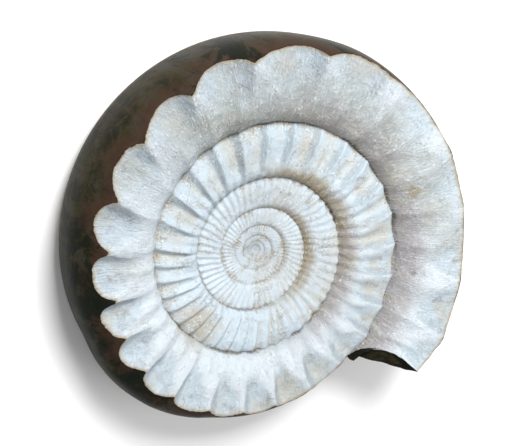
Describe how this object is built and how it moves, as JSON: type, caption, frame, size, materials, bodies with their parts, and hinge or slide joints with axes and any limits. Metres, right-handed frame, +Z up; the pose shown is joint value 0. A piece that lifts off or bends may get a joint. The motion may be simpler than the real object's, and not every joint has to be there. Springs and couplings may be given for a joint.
{
  "type": "ammonite fossil",
  "caption": "Ammonite fossil lying flat: a spiral shell with a white, hollow-ribbed face and a dark, ground and polished rim, flat on its ground back.",
  "frame": {"origin": "centre of the bounding box in X and Y, on the plane that the ground back rests on", "axes": "+Z up, along the axis of the coil, out of the white ribbed face; +X and +Y lie in the plane of the coil, with the open end of the last whorl towards +X and -Y"},
  "size_m": [0.2956, 0.2704, 0.0776],
  "materials": {
    "fossil_stone": "chalky white crust with cream and ochre stains on the ribbed face; near-black, brown-tinged polished stone on the rim"
  },
  "bodies": {
    "root": {"ammonite": "fossil_stone"}
  },
  "joints": []
}
